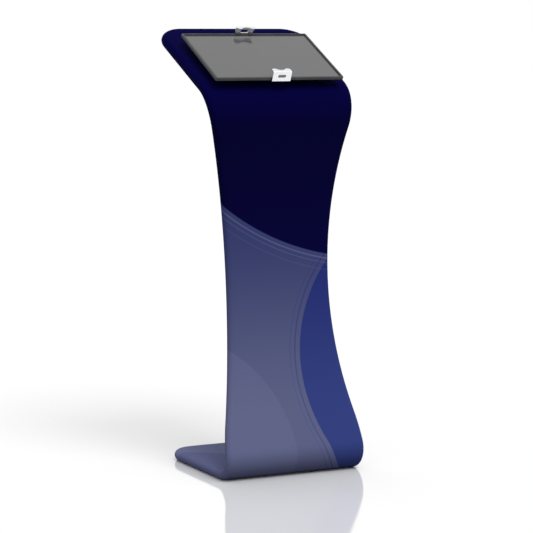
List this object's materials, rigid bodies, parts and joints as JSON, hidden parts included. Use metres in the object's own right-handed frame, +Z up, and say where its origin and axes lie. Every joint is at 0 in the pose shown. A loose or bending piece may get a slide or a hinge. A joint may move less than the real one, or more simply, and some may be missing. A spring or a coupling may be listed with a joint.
{
  "type": "tablet display stand",
  "caption": "Floor stand of stretched fabric over a bent tube loop, waisted and leaning, with a sprung two-jaw holder gripping a tablet on its sloping head.",
  "frame": {"origin": "on the floor, in the middle of the foot's resting face", "axes": "+Z up, +Y to the back of the stand (the foot and head reach that way), +X to the right of someone facing the stand"},
  "size_m": [0.4162, 0.4234, 1.1123],
  "materials": {
    "cover_fabric": "printed stretch polyester, matte",
    "zip_tape": "woven tape",
    "zip_nylon": "moulded nylon",
    "zip_metal": "plated zinc",
    "tube_aluminium": "mill finish",
    "plated_steel": "zinc plated",
    "spring_steel": "blued spring strip",
    "plate_steel": "black powder coat",
    "holder_black": "black powder coat on die casting",
    "jaw_polished": "polished and plated steel",
    "gear_acetal": "natural acetal",
    "pad_rubber": "moulded rubber",
    "tablet_casing": "dark grey satin",
    "tablet_glass": "polished dark cover glass, opaque when the screen is off",
    "display_panel": "unlit panel",
    "battery_foil": "laminated pouch",
    "circuit_board": "solder mask"
  },
  "bodies": {
    "stand": {"base_lugs": "plate_steel", "base_plate": "plate_steel", "base_screws": "plated_steel", "clock_spring": "spring_steel", "fabric_cover": "cover_fabric", "foot_tube": "tube_aluminium", "head_lugs": "plate_steel", "head_plate": "plate_steel", "head_screws": "plated_steel", "head_tube": "tube_aluminium", "holder_base": "holder_black", "holder_bushes": "plated_steel", "holder_lid": "holder_black", "holder_nuts": "plated_steel", "holder_screws": "plated_steel", "lid_screws": "plated_steel", "pinion_pin": "plated_steel", "rest_pads": "pad_rubber", "spigot_rivets": "plated_steel", "spigots": "tube_aluminium", "tablet_back": "tablet_casing", "tablet_battery": "battery_foil", "tablet_board": "circuit_board", "tablet_display": "display_panel", "tablet_glass": "tablet_glass", "upright_left": "tube_aluminium", "upright_right": "tube_aluminium", "zip_tapes": "zip_tape", "zip_teeth": "zip_nylon"},
    "upper_jaw": {"upper_jaw": "jaw_polished", "upper_rack": "gear_acetal", "upper_rack_rivets": "plated_steel", "upper_jaw_pad": "pad_rubber"},
    "lower_jaw": {"lower_jaw": "jaw_polished", "lower_rack": "gear_acetal", "lower_rack_rivets": "plated_steel", "lower_jaw_pad": "pad_rubber"},
    "pinion": {"pinion": "gear_acetal"},
    "zip_slider": {"zip_slider": "zip_metal"},
    "zip_pull": {"zip_pull": "zip_metal"},
    "power_key": {"power_key": "tablet_casing"},
    "volume_key": {"volume_key": "tablet_casing"},
    "snap_button_lower_left": {"snap_button_lower_left": "plated_steel"},
    "snap_button_lower_right": {"snap_button_lower_right": "plated_steel"},
    "snap_button_upper_left": {"snap_button_upper_left": "plated_steel"},
    "snap_button_upper_right": {"snap_button_upper_right": "plated_steel"}
  },
  "joints": [
    {"name": "upper_jaw_slide", "type": "slide", "parent": "stand", "child": "upper_jaw", "axis": [0, 0.898, 0.4399], "range_m": [0, 0.018], "stiffness_N_per_m": 300, "springref_m": -0.04},
    {"name": "lower_jaw_slide", "type": "slide", "parent": "stand", "child": "lower_jaw", "axis": [0, -0.898, -0.4399], "range_m": [0, 0.018]},
    {"name": "pinion_turn", "type": "hinge", "parent": "stand", "child": "pinion", "pos_m": [0, 0.05081, 1.02119], "axis": [0, -0.4399, 0.898], "range_deg": [0, 86]},
    {"name": "zip_slide", "type": "slide", "parent": "stand", "child": "zip_slider", "axis": [-1, 0, 0], "range_m": [0, 0.238]},
    {"name": "zip_pull_turn", "type": "hinge", "parent": "zip_slider", "child": "zip_pull", "pos_m": [0.119, 0.19145, 0.01315], "axis": [0, 0, -1], "range_deg": [0, 170]},
    {"name": "power_key_press", "type": "slide", "parent": "stand", "child": "power_key", "axis": [0, -0.898, -0.4399], "range_m": [0, 0.0005], "stiffness_N_per_m": 2000},
    {"name": "volume_key_press", "type": "slide", "parent": "stand", "child": "volume_key", "axis": [0, -0.898, -0.4399], "range_m": [0, 0.0005], "stiffness_N_per_m": 2000},
    {"name": "snap_button_lower_left_press", "type": "slide", "parent": "stand", "child": "snap_button_lower_left", "axis": [-1, 0, 0], "range_m": [0, 0.0027], "stiffness_N_per_m": 900},
    {"name": "snap_button_lower_right_press", "type": "slide", "parent": "stand", "child": "snap_button_lower_right", "axis": [1, 0, 0], "range_m": [0, 0.0027], "stiffness_N_per_m": 900},
    {"name": "snap_button_upper_left_press", "type": "slide", "parent": "stand", "child": "snap_button_upper_left", "axis": [-1, 0, 0], "range_m": [0, 0.0027], "stiffness_N_per_m": 900},
    {"name": "snap_button_upper_right_press", "type": "slide", "parent": "stand", "child": "snap_button_upper_right", "axis": [1, 0, 0], "range_m": [0, 0.0027], "stiffness_N_per_m": 900}
  ],
  "couplings": [
    {"joint": "lower_jaw_slide", "follows": "upper_jaw_slide", "ratio": 1},
    {"joint": "pinion_turn", "follows": "upper_jaw_slide", "rad_per_m": 83.333}
  ]
}
